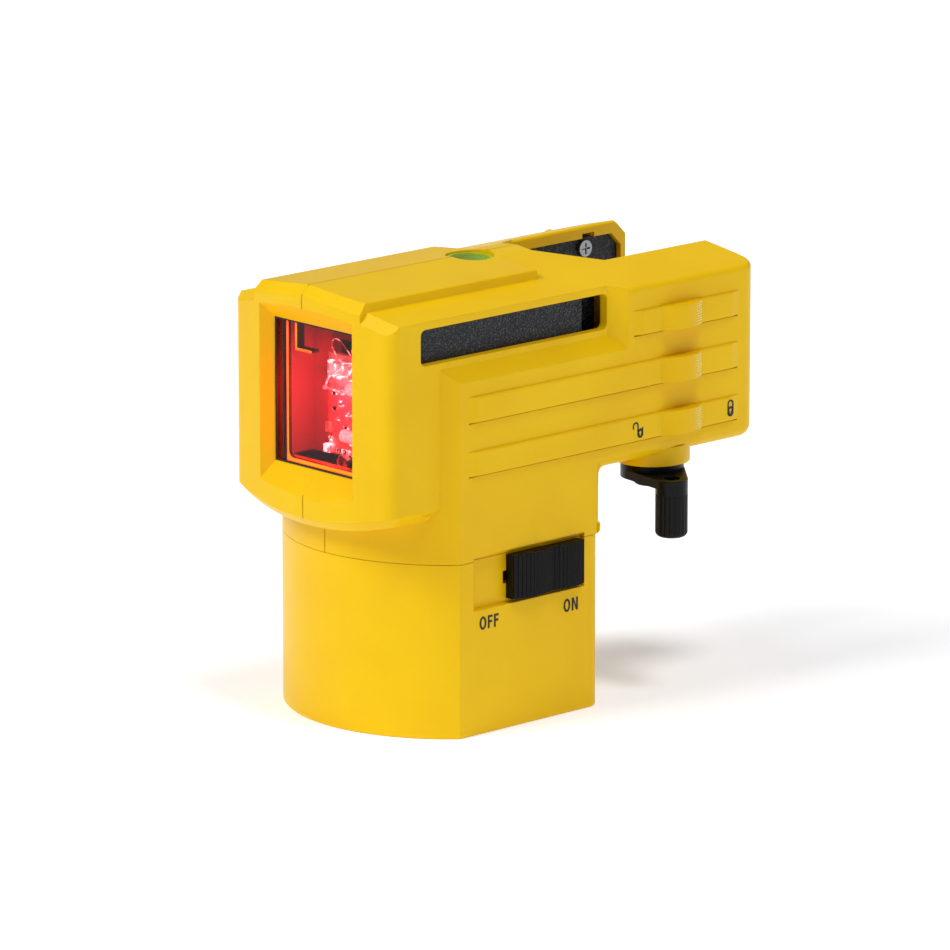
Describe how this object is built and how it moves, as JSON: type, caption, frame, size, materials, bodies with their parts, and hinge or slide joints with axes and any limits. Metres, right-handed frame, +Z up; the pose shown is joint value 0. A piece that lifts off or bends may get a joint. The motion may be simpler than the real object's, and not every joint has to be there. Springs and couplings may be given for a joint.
{
  "type": "cross-line laser level",
  "caption": "Self-levelling cross-line laser in a yellow moulded housing, with a front window, a power slider and a rear fork with a lever clamp for poles.",
  "frame": {"origin": "on the underside, at the centre of the base's round front", "axes": "+Z up; +Y from the window at the front towards the open end of the fork; +X towards the side with the power slider"},
  "size_m": [0.0682, 0.1134, 0.1018],
  "materials": {
    "housing": "satin moulded yellow plastic",
    "door": "satin moulded yellow plastic",
    "steel": "plain steel",
    "cell": "printed sleeve over a steel can",
    "black_inner": "black moulded plastic",
    "screw": "bright zinc plate",
    "window": "clear red acrylic",
    "gasket": "black rubber",
    "inner_frame": "moulded yellow plastic",
    "vial_fluid": "green fluid",
    "vial_lens": "clear acrylic",
    "grained_panel": "black plastic with a coarse spark grain",
    "slider": "satin black plastic",
    "board": "solder-masked circuit board",
    "chassis": "die-cast alloy",
    "brass": "turned brass",
    "copper": "copper sheet",
    "magnet": "nickel plate",
    "lens": "clear glass",
    "baffle": "pale moulded plastic",
    "lever": "satin black plastic"
  },
  "bodies": {
    "housing": {"left_half_shell": "housing", "right_half_shell": "housing", "base_cup": "housing", "door_hinge_pin": "steel", "battery_cell_front": "cell", "battery_cell_rear": "cell", "battery_springs": "steel", "battery_contacts": "steel", "battery_cradle": "black_inner", "base_screws": "screw", "housing_screws": "screw", "front_window": "window", "window_gasket": "gasket", "window_frame": "inner_frame", "vial_body": "vial_lens", "vial_fluid": "vial_fluid", "vial_lens": "vial_lens", "right_side_panel": "grained_panel", "left_side_panel": "grained_panel", "switch_board": "board", "micro_switch": "black_inner", "chassis": "chassis", "outer_gimbal_pins": "steel", "damper_magnets": "magnet", "magnet_bracket": "steel", "baffle": "baffle", "main_board": "board", "board_capacitor": "black_inner", "fixed_jaw_panel": "grained_panel", "jaw_screws": "screw", "jaw_guide_pins": "steel", "lever_bush": "brass", "lever_washer": "steel"},
    "battery_door": {"battery_door": "door"},
    "power_slider": {"power_slider": "slider", "switch_carriage": "black_inner"},
    "gimbal": {"gimbal_ring": "chassis", "outer_gimbal_bushes": "brass", "inner_gimbal_pins": "steel"},
    "pendulum": {"inner_gimbal_bushes": "brass", "pendulum_carrier": "chassis", "upper_laser_barrel": "brass", "lower_laser_barrel": "brass", "upper_line_lens": "lens", "lower_line_lens": "lens", "laser_board": "board", "pendulum_weight": "brass", "damper_fin": "copper"},
    "moving_jaw": {"moving_jaw": "black_inner", "moving_jaw_pad": "grained_panel"},
    "clamp_lever": {"cam_shaft": "steel", "clamp_lever": "lever", "lever_screw": "lever"}
  },
  "joints": [
    {"name": "power_slide", "type": "slide", "parent": "housing", "child": "power_slider", "axis": [0, -1, 0], "range_m": [0, 0.0097]},
    {"name": "battery_door_hinge", "type": "hinge", "parent": "housing", "child": "battery_door", "pos_m": [0, 0.0109, 0.001], "axis": [1, 0, 0], "range_deg": [0, 95]},
    {"name": "clamp_lever_turn", "type": "hinge", "parent": "housing", "child": "clamp_lever", "pos_m": [0.0206, 0.0442, 0.05], "axis": [0, 0, 1], "range_deg": [-68, 112]},
    {"name": "jaw_slide", "type": "slide", "parent": "housing", "child": "moving_jaw", "axis": [-1, 0, 0], "range_m": [-0.00072, 0.00118]},
    {"name": "gimbal_pitch", "type": "hinge", "parent": "housing", "child": "gimbal", "pos_m": [0, -0.011, 0.088], "axis": [1, 0, 0], "range_deg": [-4.5, 4.5]},
    {"name": "gimbal_roll", "type": "hinge", "parent": "gimbal", "child": "pendulum", "pos_m": [0, -0.011, 0.088], "axis": [0, 1, 0], "range_deg": [-4.5, 4.5]}
  ],
  "couplings": [
    {"joint": "jaw_slide", "follows": "clamp_lever_turn", "m_per_rad": 0.0006}
  ]
}
